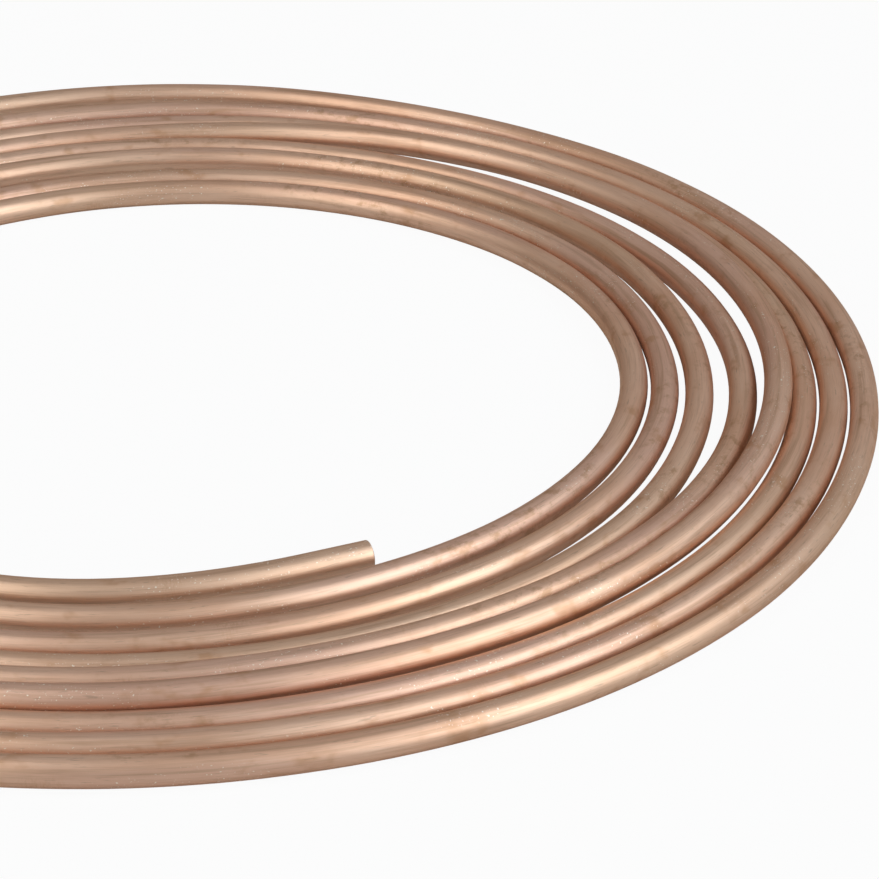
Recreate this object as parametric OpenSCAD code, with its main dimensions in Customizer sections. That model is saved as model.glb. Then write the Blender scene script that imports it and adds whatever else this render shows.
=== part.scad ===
// Brake line coil: one length of soft copper-nickel brake pipe, wound in a loose flat coil that
// lies on the floor. The turns lie side by side with uneven slack, one turn rides up on the turn
// outside it, and both ends are cut square and run straight for a short way.

/* [Pipe] */
// Outside diameter of the pipe
tube_od = 4.75; // [3:0.05:8]
// Wall thickness of the pipe
wall = 0.9; // [0.5:0.05:1.2]

/* [Coil] */
// Full turns of pipe
turns = 8; // [2:1:8]
// Radius of the eye in the middle of the coil, about to the centre of the innermost pipe
eye_r = 75.5; // [50:0.5:120]
// Least gap between turns that lie side by side
turn_gap = 0.15; // [0.1:0.05:1]
// Height of the pipe's underside above the floor
floor_gap = 0; // [0:0.1:2]

/* [Ends] */
// Straight length at the inner end
inner_end = 11.5; // [5:0.5:40]
// Straight length at the outer end
outer_end = 25; // [5:1:60]
// How far past the front place the inner end starts to bend round the coil, in degrees
inner_past = 12; // [0:1:20]
// Width of the bevel that the pipe cutter leaves round each cut end
end_bevel = 0.2; // [0.1:0.05:0.4]

/* [Slack] */
// At the front, right of its middle: the first turn's lane, then the slack inside each later
// turn, in pipe widths
front_slack = [-0.4, 0.4, 0.5, 0.5, 0, 0.05, 0.05, 0.1, 0.2]; // [-3:0.05:4]
// The same at the left of the front
left_slack = [0.8, 0.45, 0.65, 0.1, 0.15, 0.05, 0, 0.1, 0.15]; // [-3:0.05:4]
// The same at the back
back_slack = [0.4, 0.15, 1.4, 0.05, 0.15, 0.6, 0.35, 1.15]; // [-3:0.05:4]
// The same at the right of the back
corner_slack = [0.25, 0.1, 0.9, 0.1, -0.1, 0.15, 0.5, 0.3]; // [-3:0.05:4]
// The same at the right side
right_slack = [0.4, 0.05, 0.2, 0.5, 0.2, -0.15, 0.05, 0.05]; // [-3:0.05:4]

/* [Rise] */
// How far each turn is lifted off the floor at the front, in pipe widths
front_rise = [0, 0, 0, 0, 0.3, 0.4, 0, 0, 0]; // [0:0.05:1]
// The same at the left of the front
left_rise = [0, 0, 0, 0, 0.2, 0.3, 0, 0, 0]; // [0:0.05:1]
// The same at the back
back_rise = [0, 0, 0, 0, 0.3, 0, 0, 0]; // [0:0.05:1]
// The same at the right of the back
corner_rise = [0, 0, 0, 0, 0.6, 0, 0, 0]; // [0:0.05:1]
// The same at the right side, where the fifth turn leans on the sixth
right_rise = [0, 0, 0, 0, 0.6, 0, 0, 0]; // [0:0.05:1]

/* [Hidden] */
$fn = 64;
section_fn = 24;       // facets round the pipe's section
places = [-65, -120, -258, -312, -366];  // bearings of front, left, back, corner and right
sides = len(places);
bore = tube_od - 2 * wall;
pitch = tube_od + turn_gap;
lap = 0.3;             // each second bend runs this far into its neighbours, so that they fuse
hair = 0.02;           // and is this much thicker, so that no two walls lie in one surface
last = turns * sides + 1;  // the pipe leaves the coil at the left place of the last turn

// Place round the coil that a station lies at, and the turn it belongs to
function side(i) = i % sides;
function turn(i) = floor(i / sides);

// Lane of a turn: one pipe width for each turn inside it, plus the slack up to it
function lane(slack, k) = k == 0 ? slack[0] : lane(slack, k - 1) + 1 + slack[k];
function slacks(i) = [front_slack, left_slack, back_slack, corner_slack, right_slack][side(i)];
function rises(i) = [front_rise, left_rise, back_rise, corner_rise, right_rise][side(i)];

function radius(i) = eye_r + pitch * lane(slacks(i), turn(i));
function height(i) = floor_gap + tube_od * (0.5 + rises(i)[turn(i)]);

// The coil runs clockwise from the front; the first station lies a little past it
function bearing(i) = places[side(i)] - 360 * turn(i) - (i == 0 ? inner_past : 0);

function out(a) = [cos(a), sin(a), 0];
function along(a) = [sin(a), -cos(a), 0];
function unit(v) = v / norm(v);

function station(i) = radius(i) * out(bearing(i)) + [0, 0, height(i)];

// Direction of the pipe at a station: level, and round the coil with the drift outwards that
// takes it from the station before to the station after
function drift(i) = let (before = max(i - 1, 0), after = min(i + 1, last))
    (radius(after) - radius(before)) / ((bearing(before) - bearing(after)) * PI / 180);
function heading(i) = unit(radius(i) * along(bearing(i)) + drift(i) * out(bearing(i)));

// Where the two bends that join station i to the next one meet, and the pipe's direction there
function middle(i) = let (
    v = station(i + 1) - station(i),
    t = heading(i) + heading(i + 1),
    k = 1 - heading(i) * heading(i + 1),
    reach = (sqrt(pow(v * t, 2) + 2 * k * v * v) - v * t) / (2 * k))
    (station(i) + station(i + 1) + reach * (heading(i) - heading(i + 1))) / 2;
function onward(i) = let (turned = middle(i) - station(i))
    unit(2 * (turned * heading(i)) * turned / (turned * turned) - heading(i));

// An arc that leaves p in direction t and ends at q: [inward direction, radius, angle]
function arc(p, t, q) = let (
    chord = q - p,
    inwards = unit(chord - (chord * t) * t))
    [inwards, chord * chord / (2 * chord * inwards), 2 * atan2(chord * inwards, chord * t)];
function on_arc(p, t, q, part) = let (a = arc(p, t, q), turned = part * a[2])
    p + a[1] * (sin(turned) * t + (1 - cos(turned)) * a[0]);

// The outermost turn's box, from points along its bends; its middle is moved over the origin
rim = [for (i = [last - sides:last - 1], part = [0:0.1:1]) each [
    on_arc(station(i), heading(i), middle(i), part),
    on_arc(middle(i), onward(i), station(i + 1), part)]];
rim_x = [for (p = rim) p[0]];
rim_y = [for (p = rim) p[1]];
middle_x = (min(rim_x) + max(rim_x)) / 2;
middle_y = (min(rim_y) + max(rim_y)) / 2;

// One bend of pipe that leaves p in direction t and ends at q
module bend(p, t, q, d, over) {
    inwards = arc(p, t, q)[0];
    bend_r = arc(p, t, q)[1];
    angle = arc(p, t, q)[2];
    extra = over / bend_r * 180 / PI;
    up = cross(-inwards, t);
    centre = p + bend_r * inwards;
    multmatrix([for (r = [0:2]) [-inwards[r], t[r], up[r], centre[r]]])
        rotate([0, 0, -extra])
            rotate_extrude(angle = angle + 2 * extra)
                translate([bend_r, 0]) circle(d = d, $fn = section_fn);
}

// A straight length of pipe from p in direction t, bevelled round its far end
module straight(p, t, length, d, under) {
    translate(p) rotate([0, acos(t[2]), atan2(t[1], t[0])]) rotate_extrude($fn = section_fn)
        polygon([[0, -under], [d / 2, -under], [d / 2, length - end_bevel],
                 [d / 2 - end_bevel, length], [0, length]]);
}

// Everything along the pipe's centre line, at one diameter; over lengthens the two ends
module along_pipe(d, over) {
    straight(station(0), -heading(0), inner_end + over, d, 0);
    for (i = [0:last - 1]) {
        bend(station(i), heading(i), middle(i), d + hair, lap);
        bend(middle(i), onward(i), station(i + 1), d, 0);
    }
    straight(station(last), heading(last), outer_end + over, d + hair, lap);
}

module brake_pipe() {
    color("#c8977c") translate([-middle_x, -middle_y, 0]) difference() {
        along_pipe(tube_od, 0);
        along_pipe(bore, 1);
    }
}

brake_pipe();
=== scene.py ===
import math

import bpy
import numpy as np
from mathutils import Matrix, Quaternion, Vector


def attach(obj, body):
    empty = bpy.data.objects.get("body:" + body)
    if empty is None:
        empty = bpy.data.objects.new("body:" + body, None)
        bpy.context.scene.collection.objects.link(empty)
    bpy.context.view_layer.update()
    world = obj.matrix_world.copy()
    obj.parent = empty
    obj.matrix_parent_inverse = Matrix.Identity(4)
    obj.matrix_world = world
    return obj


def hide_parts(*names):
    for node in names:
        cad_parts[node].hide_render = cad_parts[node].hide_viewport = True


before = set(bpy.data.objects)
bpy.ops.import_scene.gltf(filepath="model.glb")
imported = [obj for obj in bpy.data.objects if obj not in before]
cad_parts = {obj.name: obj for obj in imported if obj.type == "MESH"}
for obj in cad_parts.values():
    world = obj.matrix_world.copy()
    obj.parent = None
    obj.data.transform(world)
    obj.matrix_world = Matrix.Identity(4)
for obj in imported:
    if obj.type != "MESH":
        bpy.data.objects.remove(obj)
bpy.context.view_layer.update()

MM = 0.001

# ---------------------------------------------------------------- the pipe and its route, in mm
# The driving values of the part's source, but for the slacks and rises at the back and the corner,
# where turns 2 to 6 lie up to 2.3 mm beside their solid so that the gaps open as the real coil's do.
TUBE_OD = 4.75
WALL = 0.9
TURNS = 8
EYE_R = 75.5
TURN_GAP = 0.15
INNER_END = 11.5
OUTER_END = 25
INNER_PAST = 12
END_BEVEL = 0.2
PLACES = [-65, -120, -258, -312, -366]  # bearings of front, left, back, corner and right
SLACK = [
    [-0.4, 0.4, 0.5, 0.5, 0, 0.05, 0.05, 0.1, 0.2],
    [0.8, 0.45, 0.65, 0.1, 0.15, 0.05, 0, 0.1, 0.15],
    [0.4, 0.15, 1.35, 0.1, 0.05, 0.4, 0.65, 1.15],
    [0.25, 0.25, 0.7, 0, 0.5, 0, 0.2, 0.3],
    [0.4, 0.05, 0.2, 0.5, 0.2, -0.15, 0.05, 0.05],
]
RISE = [
    [0, 0, 0, 0, 0.3, 0.4, 0, 0, 0],
    [0, 0, 0, 0, 0.2, 0.3, 0, 0, 0],
    [0, 0, 0, 0, 0.15, 0, 0, 0],
    [0, 0, 0, 0, 0.5, 0, 0, 0],
    [0, 0, 0, 0, 0.6, 0, 0, 0],
]
SIDES = len(PLACES)
LAST = TURNS * SIDES + 1

RING_STEP = 3.0     # between rings of the outer skin
BORE_STEP = 9.0     # between rings of the bore
ROUND = 36          # points round the pipe
RIM_PARTS = 10      # points along each bend where only the rim's box is wanted
LEAST_STEP = 0.5    # the first ring lies at least this far from the first station
UP = np.array([0.0, 0.0, 1.0])


def unit(v):
    return v / np.linalg.norm(v)


def lane(slack, turn):
    """Pipe widths from the eye out to a turn: one for each turn inside it, plus the slack."""
    return sum(slack[: turn + 1]) + turn


def lane_radius(i):
    return EYE_R + (TUBE_OD + TURN_GAP) * lane(SLACK[i % SIDES], i // SIDES)


def bearing(i):
    return math.radians(PLACES[i % SIDES] - 360 * (i // SIDES) - (INNER_PAST if i == 0 else 0))


def out(a):
    return np.array([math.cos(a), math.sin(a), 0.0])


def along(a):
    return np.array([math.sin(a), -math.cos(a), 0.0])


def station(i):
    height = TUBE_OD * (0.5 + RISE[i % SIDES][i // SIDES])
    return lane_radius(i) * out(bearing(i)) + height * UP


def heading(i):
    before, after = max(i - 1, 0), min(i + 1, LAST)
    drift = (lane_radius(after) - lane_radius(before)) / (bearing(before) - bearing(after))
    return unit(lane_radius(i) * along(bearing(i)) + drift * out(bearing(i)))


def arc(start, direction, end, parts=None):
    """Points along an arc that leaves start in a direction and ends at end, without its end point."""
    chord = end - start
    inwards = unit(chord - (chord @ direction) * direction)
    radius = chord @ chord / (2 * chord @ inwards)
    angle = 2 * math.atan2(chord @ inwards, chord @ direction)
    parts = parts or max(2, round(radius * angle / RING_STEP))
    turned = np.arange(parts)[:, None] * angle / parts
    return start + radius * (np.sin(turned) * direction + (1 - np.cos(turned)) * inwards)


def span(i, parts=None):
    """The two bends that join a station to the next one."""
    here, there = station(i), station(i + 1)
    both = heading(i) + heading(i + 1)
    apart = there - here
    k = 1 - heading(i) @ heading(i + 1)
    forward = apart @ both
    reach = (math.sqrt(forward**2 + 2 * k * apart @ apart) - forward) / (2 * k)
    meet = (here + there + reach * (heading(i) - heading(i + 1))) / 2
    turned = meet - here
    onward = 2 * (turned @ heading(i)) * turned / (turned @ turned) - heading(i)
    return np.vstack([arc(here, heading(i), meet, parts), arc(meet, onward, there, parts)])


def middle():
    """The middle of the outermost turn's box, which the part's source moves over the origin."""
    bends = [span(i, RIM_PARTS) for i in range(LAST - SIDES, LAST)]
    rim = np.vstack(bends + [station(LAST)])
    return (rim.min(axis=0) + rim.max(axis=0)) / 2 * [1, 1, 0]


def route():
    """The pipe's centre line from the inner cut end to the outer one."""
    first, last = station(0), station(LAST)
    inner = [first - heading(0) * s for s in np.arange(INNER_END, LEAST_STEP, -RING_STEP)]
    outer = [last + heading(LAST) * s for s in np.arange(0, OUTER_END, RING_STEP)]
    coil = [span(i) for i in range(LAST)]
    return np.vstack([inner, *coil, outer, last + heading(LAST) * OUTER_END]) - middle()


def travelled(points):
    steps = np.linalg.norm(np.diff(points, axis=0), axis=1)
    return np.concatenate([[0], np.cumsum(steps)])


def slow_waves(s, wavelengths, phases):
    """A smooth, repeatable wander with a size of about 1."""
    return sum(np.sin(2 * math.pi * s / w + p) for w, p in zip(wavelengths, phases)) / len(wavelengths)


def smooth_step(x):
    x = np.clip(x, 0, 1)
    return x * x * (3 - 2 * x)


# ---------------------------------------------------------------- meshes
ANGLES = np.arange(ROUND) * 2 * math.pi / ROUND
NEXT_TURN = 60.0    # further than this along the pipe is another turn, in mm
CONTACT_SHADE_GAP = 0.8   # skin nearer than this to another turn gets painted shade, in mm
FADE = 20.0         # the waver grows from nothing over this length at each end, in mm
WANDER = 0.03       # half of how far the pipe wanders inwards, in mm
BOB = 0.035         # how far it rises, in mm
OVAL = 0.012        # how much flatter than round the bends press the section
OVAL_SPREAD = 0.008  # and how much that varies along the pipe
LIP = 0.06          # the broken edge of the bore, in mm
SHOULDER = 0.35     # depth at which the bore's rings begin, in mm


class Sections:
    """The pipe's centre line, with the direction, upright and outward axes of its section."""

    def __init__(self, points):
        self.points = points
        self.s = travelled(points)
        direction = np.gradient(points, axis=0)
        self.direction = direction / np.linalg.norm(direction, axis=1)[:, None]
        upright = UP - (self.direction @ UP)[:, None] * self.direction
        self.upright = upright / np.linalg.norm(upright, axis=1)[:, None]
        self.outward = np.cross(self.upright, self.direction)

    def spokes(self):
        """Unit vectors from each centre point to its ring, starting at the top."""
        return (np.cos(ANGLES)[None, :, None] * self.upright[:, None]
                + np.sin(ANGLES)[None, :, None] * self.outward[:, None])


def hand_wound(true):
    """Hand-wound pipe is never quite true: it wanders inwards and up by a few hundredths of a mm."""
    fade = np.clip(np.minimum(true.s, true.s[-1] - true.s) / FADE, 0, 1)[:, None]
    wander = WANDER * (slow_waves(true.s, (31, 47, 83), (0.3, 2.1, 4.4))[:, None] - 1) * fade
    bob = BOB * np.abs(slow_waves(true.s, (37, 59, 101), (1.7, 0.2, 3.3)))[:, None] * fade
    return Sections(true.points + wander * true.outward + bob * true.upright)


def shelter(pipe, rings):
    """1 where a ring's skin lies against another turn, 0 where it stands clear; it marks where shade is
    painted between turns and roughens the skin there.
    """
    towards = pipe.points[None] - pipe.points[:, None]
    apart = np.linalg.norm(towards, axis=2)
    apart[np.abs(pipe.s[:, None] - pipe.s[None]) < NEXT_TURN] = np.inf
    sideways = np.einsum("ijk,ik->ij", towards, pipe.outward)
    closed = np.zeros(rings.shape[:2])
    for side in (-1, 1):
        distance = np.where(sideways * side > 0, apart, np.inf)
        other = distance.argmin(axis=1)
        across = rings - pipe.points[other][:, None]
        run = pipe.direction[other][:, None]
        across = across - (across * run).sum(axis=2, keepdims=True) * run
        gap = np.linalg.norm(across, axis=2) - TUBE_OD / 2
        gap[distance.min(axis=1) > 2 * TUBE_OD] = np.inf
        # Painted shade mask: 1 at contact with another turn, fading to 0 at the gap set above
        closed = np.maximum(closed, 1 - smooth_step(gap / CONTACT_SHADE_GAP))
    return closed


class PipeMesh:
    """Rings of vertices joined by quads, with a UV corner (share of a turn, mm along) for each."""

    def __init__(self):
        self.vertices, self.sheltered, self.faces, self.corners = [], [], [], []

    def ring(self, points, sheltered):
        at = len(self.vertices)
        self.vertices += list(points)
        self.sheltered += list(sheltered)
        return np.arange(at, at + ROUND)

    def join(self, near, far, near_v, far_v, flip=False):
        for a in range(ROUND):
            b = (a + 1) % ROUND
            face = [near[a], far[a], far[b], near[b]]
            here, there = a / ROUND, (a + 1) / ROUND
            where = [(here, near_v), (here, far_v), (there, far_v), (there, near_v)]
            self.faces.append([int(v) for v in (face[::-1] if flip else face)])
            self.corners.append(where[::-1] if flip else where)

    def tube(self, rings, sheltered, s, inside_out=False):
        made = [self.ring(points, closed) for points, closed in zip(rings, sheltered)]
        for i in range(len(made) - 1):
            self.join(made[i], made[i + 1], s[i], s[i + 1], flip=inside_out)
        return made


def cut_end_profile():
    """Radius and depth below the cut face of each ring from the rolled rim to the edge of the bore."""
    outer, bore = TUBE_OD / 2, TUBE_OD / 2 - WALL
    rolled = [(outer - END_BEVEL * (1 - math.cos(t)), END_BEVEL * (1 - math.sin(t)))
              for t in np.linspace(0, math.pi / 2, 4)]
    return rolled + [(bore + LIP, 0), (bore, LIP), (bore, SHOULDER)]


def pipe_mesh():
    pipe = hand_wound(Sections(route()))
    spokes = pipe.spokes()

    # Each bend presses the section slightly oval
    oval = OVAL + OVAL_SPREAD * slow_waves(pipe.s, (43, 71, 139), (0.9, 2.7, 5.1))
    radii = TUBE_OD / 2 * (1 - oval[:, None] * np.cos(ANGLES)[None] ** 2)
    skin = pipe.points[:, None] + spokes * radii[:, :, None]
    closed = shelter(pipe, skin)

    # The skin and the bore stop a little inside the cut faces, where the rolled rims take over
    mesh = PipeMesh()
    profile = cut_end_profile()
    bore_at = list(range(0, len(pipe.s) - 1, round(BORE_STEP / RING_STEP))) + [len(pipe.s) - 1]
    bore = pipe.points[bore_at, None] + spokes[bore_at] * (TUBE_OD / 2 - WALL)
    for end, inward in ((0, 1), (-1, -1)):
        skin[end] += inward * pipe.direction[end] * profile[0][1]
        bore[end] += inward * pipe.direction[end] * 2 * profile[-1][1]
    outside = mesh.tube(skin, closed, pipe.s)
    # The bore is marked in full, so it gets the painted shade of a hollow
    inside = mesh.tube(bore, np.ones(bore.shape[:2]), pipe.s[bore_at], inside_out=True)

    for end, inward in ((0, 1), (-1, -1)):
        rim = outside[end]
        for radius, depth in profile[1:]:
            points = pipe.points[end] + inward * pipe.direction[end] * depth + spokes[end] * radius
            step = mesh.ring(points, np.zeros(ROUND))
            mesh.join(rim, step, pipe.s[end], pipe.s[end], flip=inward > 0)
            rim = step
        mesh.join(rim, inside[end], pipe.s[end], pipe.s[end], flip=inward > 0)
    return mesh


def make_object(name, vertices, faces):
    mesh = bpy.data.meshes.new(name)
    mesh.from_pydata([tuple(v) for v in vertices], [], faces)
    mesh.polygons.foreach_set("use_smooth", [True] * len(mesh.polygons))
    obj = bpy.data.objects.new(name, mesh)
    bpy.context.scene.collection.objects.link(obj)
    return obj


# ---------------------------------------------------------------- materials
class Nodes:
    """Short calls for building one material's node tree."""

    def __init__(self, name):
        self.material = bpy.data.materials.new(name)
        self.material.use_nodes = True
        self.tree = self.material.node_tree
        self.tree.nodes.clear()

    def connect(self, socket, value):
        if isinstance(value, bpy.types.NodeSocket):
            self.tree.links.new(value, socket)
        else:
            socket.default_value = value

    def add(self, kind, inputs=None, **settings):
        node = self.tree.nodes.new(kind)
        for key, value in settings.items():
            setattr(node, key, value)
        for key, value in (inputs or {}).items():
            self.connect(node.inputs[key], value)
        return node

    def math(self, operation, a, b=0.0, clamp=False):
        return self.add("ShaderNodeMath", {0: a, 1: b}, operation=operation, use_clamp=clamp).outputs[0]

    def mix(self, factor, a, b):
        return self.add("ShaderNodeMix", {0: factor, 6: a, 7: b}, data_type="RGBA").outputs[2]

    def noise(self, vector, scale, detail=3.0, roughness=0.5):
        node = self.add("ShaderNodeTexNoise", {"Vector": vector, "Scale": scale, "Detail": detail,
                                               "Roughness": roughness})
        return node.outputs["Fac"]

    def ramp(self, value, low, high, most=1.0):
        """0 where value is below low, most where it is above high."""
        node = self.add("ShaderNodeMapRange",
                        {"Value": value, "From Min": low, "From Max": high, "To Max": most},
                        interpolation_type="SMOOTHSTEP")
        return node.outputs["Result"]

    def shift(self, vector, offset):
        return self.add("ShaderNodeVectorMath", {0: vector, 1: offset}, operation="ADD").outputs[0]


def round_the_pipe(n, stretch):
    """Seamless coordinates on the skin: mm round the section, mm along the pipe divided by stretch."""
    uv = n.add("ShaderNodeSeparateXYZ", {0: n.add("ShaderNodeUVMap", uv_map="pipe").outputs[0]})
    turn = n.math("MULTIPLY", uv.outputs[0], 2 * math.pi)
    x = n.math("MULTIPLY", n.math("COSINE", turn), TUBE_OD / 2)
    y = n.math("MULTIPLY", n.math("SINE", turn), TUBE_OD / 2)
    z = n.math("DIVIDE", uv.outputs[1], stretch)
    return n.add("ShaderNodeCombineXYZ", {0: x, 1: y, 2: z}).outputs[0]


def drawn_copper_nickel():
    """Satin drawn tube: lines along it, patches of tarnish, brown rubs and stains, bright specks, and
    painted shade where the turns touch and in the bore.
    """
    n = Nodes("copper_nickel_satin")
    fine = round_the_pipe(n, 45)
    streaks = round_the_pipe(n, 26)
    dashes = round_the_pipe(n, 9)
    patches = round_the_pipe(n, 5)
    spots = round_the_pipe(n, 1.4)
    across = round_the_pipe(n, 0.3)
    closed = n.add("ShaderNodeAttribute", attribute_name="shelter").outputs["Fac"]

    lines = n.noise(fine, 5.0, 4.0, 0.65)
    bands = n.noise(streaks, 0.95, 3.0, 0.6)
    scratch = n.noise(n.shift(dashes, (0, 20, 0)), 2.6, 3.0, 0.6)
    tarnish = n.noise(patches, 0.16, 4.0, 0.6)
    tint = n.noise(n.shift(patches, (30, 0, 0)), 0.05, 2.0, 0.5)
    grime_and_shade_breakup = n.noise(spots, 0.9, 5.0, 0.65)
    stain = n.noise(n.shift(spots, (40, 0, 0)), 0.19, 3.0, 0.6)
    smudge = n.noise(n.shift(spots, (0, 40, 0)), 0.45, 4.0, 0.7)
    smudge_area = n.noise(n.shift(patches, (0, 60, 0)), 0.12, 1.0, 0.5)
    rub = n.noise(across, 0.9, 3.0, 0.7)
    rub_area = n.noise(n.shift(spots, (0, 0, 55)), 0.11, 2.0, 0.5)
    speck = n.noise(n.shift(spots, (0, 70, 0)), 3.2, 1.0, 0.4)
    speck_area = n.noise(n.shift(patches, (0, 0, 90)), 0.22, 1.0, 0.5)

    colour = n.mix(n.ramp(tarnish, 0.36, 0.66), (0.89, 0.60, 0.435, 1), (0.81, 0.505, 0.345, 1))
    colour = n.mix(n.ramp(tint, 0.50, 0.62, 0.5), colour, (0.78, 0.54, 0.37, 1))
    colour = n.mix(n.ramp(tint, 0.48, 0.38, 0.5), colour, (0.81, 0.52, 0.41, 1))
    colour = n.mix(n.ramp(bands, 0.48, 0.72, 0.65), colour, (0.57, 0.35, 0.23, 1))
    colour = n.mix(n.ramp(lines, 0.52, 0.75, 0.25), colour, (0.93, 0.72, 0.58, 1))
    colour = n.mix(n.ramp(lines, 0.47, 0.30, 0.4), colour, (0.54, 0.33, 0.22, 1))
    colour = n.mix(n.ramp(scratch, 0.62, 0.72, 0.45), colour, (0.45, 0.30, 0.21, 1))
    colour = n.mix(n.ramp(stain, 0.56, 0.72, 0.55), colour, (0.60, 0.32, 0.17, 1))
    smeared = n.math("MULTIPLY", n.ramp(smudge, 0.48, 0.68, 0.6), n.ramp(smudge_area, 0.56, 0.68))
    colour = n.mix(smeared, colour, (0.50, 0.28, 0.15, 1))
    rubs = n.math("MULTIPLY", n.ramp(rub, 0.40, 0.66, 0.45), n.ramp(rub_area, 0.62, 0.76))
    colour = n.mix(rubs, colour, (0.62, 0.34, 0.18, 1))
    # Painted shade: brown darkening where the turns lie against each other and inside the bore, broken up
    # by noise
    painted_contact_shade = n.math("MULTIPLY", closed, n.ramp(grime_and_shade_breakup, 0.25, 0.6, 0.6))
    colour = n.mix(painted_contact_shade, colour, (0.44, 0.29, 0.20, 1))
    bright = n.math("MULTIPLY", n.ramp(speck, 0.68, 0.74), n.ramp(speck_area, 0.53, 0.62))
    colour = n.mix(bright, colour, (0.97, 0.86, 0.74, 1))

    rough = n.math("ADD", 0.39, n.math("MULTIPLY", bands, 0.10))
    rough = n.math("ADD", rough, n.math("MULTIPLY", grime_and_shade_breakup, 0.10))
    rough = n.math("ADD", rough, n.math("MULTIPLY", closed, 0.12))

    height = n.math("ADD", n.math("MULTIPLY", lines, 0.6), n.math("MULTIPLY", grime_and_shade_breakup, 0.4))
    bump = n.add("ShaderNodeBump", {"Strength": 0.35, "Distance": 0.00008, "Height": height})

    shader = n.add("ShaderNodeBsdfPrincipled", {
        "Base Color": colour, "Metallic": 1.0, "Roughness": rough, "Normal": bump.outputs[0],
        "Specular Tint": (0.55, 0.42, 0.34, 1)})
    output = n.add("ShaderNodeOutputMaterial")
    n.tree.links.new(shader.outputs[0], output.inputs["Surface"])
    return n.material


SEEN_WHITE = 0.95     # how much of the floor's white doesn't depend on the lamps, seen directly
MIRRORED_WHITE = 0.1  # and seen in the metal, where the turns shade each other


def studio_floor():
    """White paper: what sees it directly or in a reflection sees it white, under the coil's shadow."""
    n = Nodes("studio_floor")
    speck = n.noise(n.add("ShaderNodeTexCoord").outputs["Object"], 60.0, 2.0)
    paper = n.mix(speck, (0.54, 0.54, 0.54, 1), (0.57, 0.57, 0.57, 1))
    matt = n.add("ShaderNodeBsdfDiffuse", {"Color": paper})
    white = n.add("ShaderNodeEmission", {"Color": (1, 1, 1, 1), "Strength": 1.0})
    ray = n.add("ShaderNodeLightPath")
    mirrored = n.math("ADD", ray.outputs["Is Glossy Ray"], ray.outputs["Is Transmission Ray"], clamp=True)
    share = n.math("ADD", n.math("MULTIPLY", ray.outputs["Is Camera Ray"], SEEN_WHITE),
                   n.math("MULTIPLY", mirrored, MIRRORED_WHITE), clamp=True)
    both = n.add("ShaderNodeMixShader", {0: share, 1: matt.outputs[0], 2: white.outputs[0]})
    output = n.add("ShaderNodeOutputMaterial")
    n.tree.links.new(both.outputs[0], output.inputs["Surface"])
    return n.material


# ---------------------------------------------------------------- stage, light and camera
EYE = Vector(-middle() * MM)  # the point that the lanes are measured from, on the floor
LAMPS_AWAY = 1.5    # from the eye of the coil to each lamp's ends, in metres
FLOOR_HALF = 8.0    # half the floor's side, in metres
FLOOR_DROP = 0.00002  # the floor lies this far below the coil, in metres


def place(obj, location, target, roll):
    """Puts an object at location, turns its -Z towards target and rolls it, in degrees."""
    obj.location = location
    obj.rotation_mode = "QUATERNION"
    level = (Vector(location) - Vector(target)).to_track_quat("Z", "Y")
    obj.rotation_quaternion = level @ Quaternion((0, 0, 1), math.radians(roll))
    bpy.context.scene.collection.objects.link(obj)


def round_about(azimuth, elevation, distance):
    """A point round the eye of the coil: azimuth 0 lies in front of it and 90 at its right."""
    a, e = math.radians(azimuth), math.radians(elevation)
    return EYE + distance * Vector((math.sin(a) * math.cos(e), -math.cos(a) * math.cos(e), math.sin(e)))


def make_camera():
    data = bpy.data.cameras.new("camera")
    data.sensor_width = 36
    data.lens = 124.53
    camera = bpy.data.objects.new("camera", data)
    aim = EYE + Vector((0.04162, -0.03089, 0.0024))
    place(camera, round_about(0, 26.22, 0.52448), aim, roll=0.125)
    bpy.context.scene.camera = camera


def strip_light(name, one_end, other_end, width, power, colour):
    """A strip of light that faces the coil; its ends are given by azimuth and elevation."""
    start, end = (round_about(*towards, LAMPS_AWAY) for towards in (one_end, other_end))
    lamp = bpy.data.lights.new(name, "AREA")
    lamp.shape = "RECTANGLE"
    lamp.size, lamp.size_y = (end - start).length, width
    lamp.energy = power
    lamp.color = colour
    obj = bpy.data.objects.new(name, lamp)
    obj.location = (start + end) / 2
    x, z = (end - start).normalized(), (obj.location - EYE).normalized()
    obj.rotation_mode = "QUATERNION"
    obj.rotation_quaternion = Matrix((x, z.cross(x), z)).transposed().to_quaternion()
    bpy.context.scene.collection.objects.link(obj)


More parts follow.
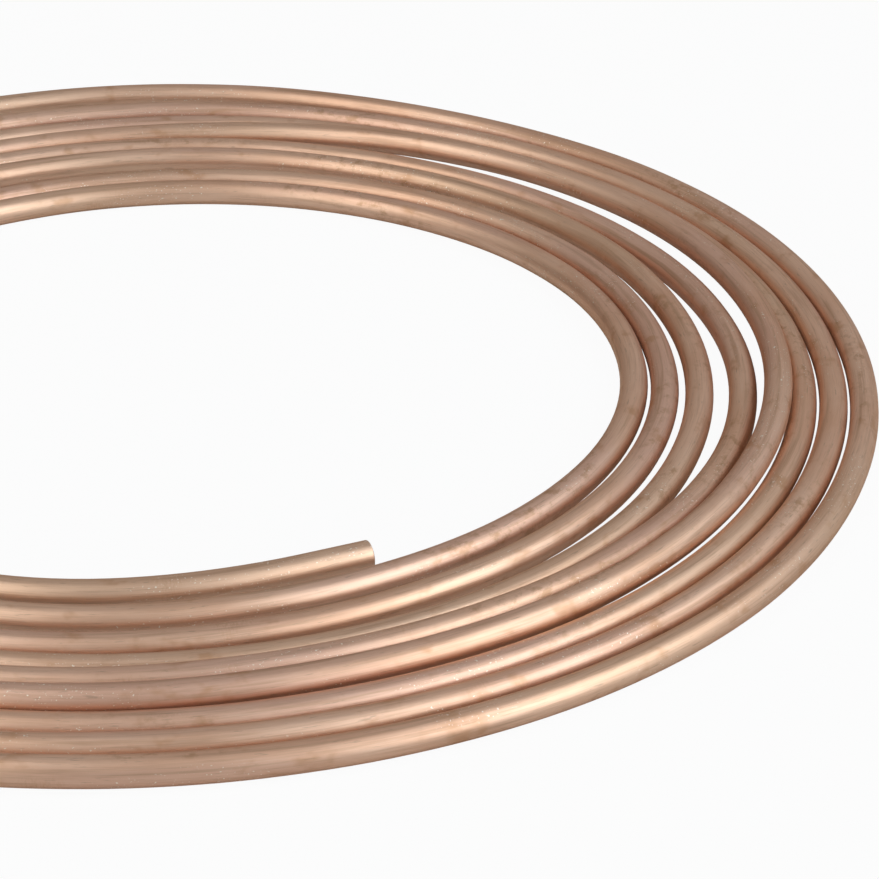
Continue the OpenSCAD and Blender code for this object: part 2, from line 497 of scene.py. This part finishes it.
def studio_room():
    """The room round the table: warm and dim at the left, cool and lighter at the right."""
    world = bpy.data.worlds.new("studio_room")
    world.use_nodes = True
    nodes, links = world.node_tree.nodes, world.node_tree.links
    direction = nodes.new("ShaderNodeTexCoord")
    split = nodes.new("ShaderNodeSeparateXYZ")
    walls = nodes.new("ShaderNodeValToRGB")
    walls.color_ramp.elements[0].position = 0.1
    walls.color_ramp.elements[0].color = (0.125, 0.100, 0.080, 1)
    walls.color_ramp.elements[1].position = 0.9
    walls.color_ramp.elements[1].color = (0.350, 0.375, 0.412, 1)
    rightness = nodes.new("ShaderNodeMapRange")
    rightness.inputs["From Min"].default_value = -1.0
    links.new(direction.outputs["Generated"], split.inputs[0])
    links.new(split.outputs["X"], rightness.inputs["Value"])
    links.new(rightness.outputs[0], walls.inputs["Fac"])
    links.new(walls.outputs["Color"], nodes["Background"].inputs["Color"])
    return world


def make_stage():
    corners = [(x * FLOOR_HALF, y * FLOOR_HALF, 0) for x, y in ((-1, -1), (1, -1), (1, 1), (-1, 1))]
    floor = make_object("floor", corners, [(0, 1, 2, 3)])
    floor.location.z = -FLOOR_DROP
    floor.data.materials.append(studio_floor())

    strip_light("right_strip", (37, 4), (96, 56), 0.75, 11.6, (0.87, 0.95, 1.0))
    strip_light("left_strip", (-42, 5), (-104, 66), 0.40, 7.9, (0.94, 0.98, 0.98))
    strip_light("back_fill", (140, 28), (-140, 28), 1.3, 1.2, (0.90, 0.97, 1.0))
    bpy.context.scene.world = studio_room()
    bpy.context.scene.view_settings.view_transform = "Standard"


def make_pipe():
    made = pipe_mesh()
    pipe = make_object("brake_pipe_skin", np.array(made.vertices) * MM, made.faces)
    corners = np.array(made.corners, dtype=np.float32)
    pipe.data.uv_layers.new(name="pipe").data.foreach_set("uv", corners.reshape(-1))
    layer = pipe.data.attributes.new("shelter", "FLOAT", "POINT")
    layer.data.foreach_set("value", np.array(made.sheltered, dtype=np.float32))
    pipe.data.materials.append(drawn_copper_nickel())
    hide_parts("brake_pipe")
    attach(pipe, "root")


make_camera()
make_stage()
make_pipe()
